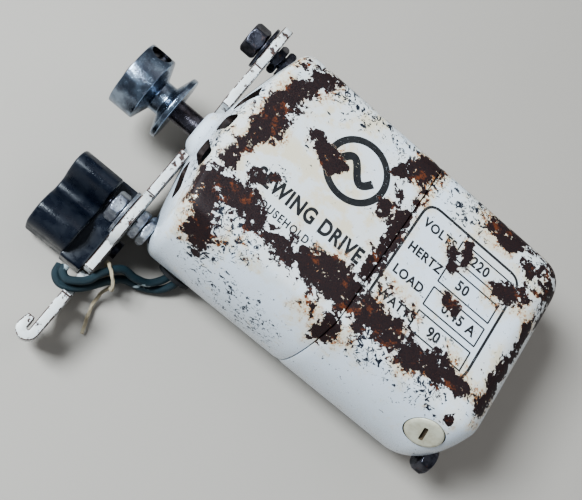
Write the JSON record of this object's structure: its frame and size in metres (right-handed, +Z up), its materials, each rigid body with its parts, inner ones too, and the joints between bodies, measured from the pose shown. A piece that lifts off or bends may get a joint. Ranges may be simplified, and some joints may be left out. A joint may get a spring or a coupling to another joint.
{
  "type": "sewing machine motor",
  "caption": "Small universal motor in a two-part steel housing with two flats, a belt pulley, a bolted bracket strip, a three-pin supply connector and two brush caps.",
  "frame": {"origin": "on the underside flat that the motor rests on, directly below the shaft axis, under the middle of the front shell", "axes": "+X along the shaft towards the belt pulley, +Z up out of the upper flat, +Y towards the long end of the bracket"},
  "size_m": [0.1319, 0.1112, 0.0464],
  "materials": {
    "enamel": "cream-white stove enamel, chipped and rusted along the flats and the seam",
    "bracket_enamel": "white enamel, chipped along its edges",
    "bakelite": "glossy blue-black moulded",
    "steel": "dull bare steel",
    "pulley_steel": "turned and worn steel",
    "dark_steel": "blackened steel",
    "laminations": "varnished sheet stack",
    "copper_winding": "varnished copper wire",
    "commutator_copper": "turned copper bars",
    "bronze": "sintered",
    "brass": "bright",
    "ivory": "aged ivory moulded",
    "carbon": "pressed carbon",
    "fibre": "bonded paper",
    "rubber": "matt",
    "lead_sleeve": "varnished cotton sleeve",
    "thread": "waxed thread",
    "felt": "oiled felt",
    "fan_alloy": "pressed sheet"
  },
  "bodies": {
    "housing": {"front_shell": "enamel", "rear_shell": "enamel", "mounting_bracket": "bracket_enamel", "stator_core": "laminations", "connector_body": "bakelite", "motor_lead_a": "lead_sleeve", "motor_lead_b": "lead_sleeve", "lead_tie": "thread", "lead_grommet": "rubber", "brush_holder_left": "fibre", "brush_holder_right": "fibre", "left_washer": "steel", "right_washer": "dark_steel", "front_bearing": "bronze", "rear_bearing": "bronze", "front_oil_felt": "felt", "front_felt_washer": "steel", "rear_thrust_washer": "fibre", "field_coil_left": "copper_winding", "field_coil_right": "copper_winding", "connector_screw_1": "dark_steel", "connector_screw_2": "dark_steel", "connector_pin_1": "brass", "connector_pin_2": "brass", "connector_pin_3": "brass", "brush_lead_left": "lead_sleeve", "brush_lead_right": "lead_sleeve", "through_bolt_left": "dark_steel", "left_clamp_nut": "steel", "through_bolt_right": "dark_steel", "right_rear_nut": "dark_steel", "left_standoff_nut": "steel", "left_lock_nut": "steel", "right_standoff_nut": "dark_steel", "right_lock_nut": "dark_steel"},
    "rotor": {"shaft": "steel", "armature_core": "laminations", "armature_winding": "copper_winding", "commutator": "commutator_copper", "cooling_fan": "fan_alloy", "pulley": "pulley_steel", "pulley_set_screw": "dark_steel"},
    "left_brush": {"brush_left": "carbon", "brush_spring_left": "steel"},
    "right_brush": {"brush_right": "carbon", "brush_spring_right": "steel"},
    "left_cap": {"brush_cap_left": "ivory"},
    "right_cap": {"brush_cap_right": "ivory"}
  },
  "joints": [
    {"name": "rotor_spin", "type": "hinge", "parent": "housing", "child": "rotor", "pos_m": [0, 0, 0.0232], "axis": [1, 0, 0], "continuous": true},
    {"name": "left_brush_slide", "type": "slide", "parent": "housing", "child": "left_brush", "axis": [0, 0.9171, 0.3987], "range_m": [0, 0.004], "stiffness_N_per_m": 100, "springref_m": -0.008, "deforming": ["brush_spring_left"]},
    {"name": "right_brush_slide", "type": "slide", "parent": "housing", "child": "right_brush", "axis": [0, -0.9171, -0.3987], "range_m": [0, 0.004], "stiffness_N_per_m": 100, "springref_m": -0.008, "deforming": ["brush_spring_right"]},
    {"name": "left_cap_out", "type": "slide", "parent": "housing", "child": "left_cap", "axis": [0, 0.9171, 0.3987], "range_m": [0, 0.006]},
    {"name": "right_cap_out", "type": "slide", "parent": "housing", "child": "right_cap", "axis": [0, -0.9171, -0.3987], "range_m": [0, 0.006]}
  ]
}
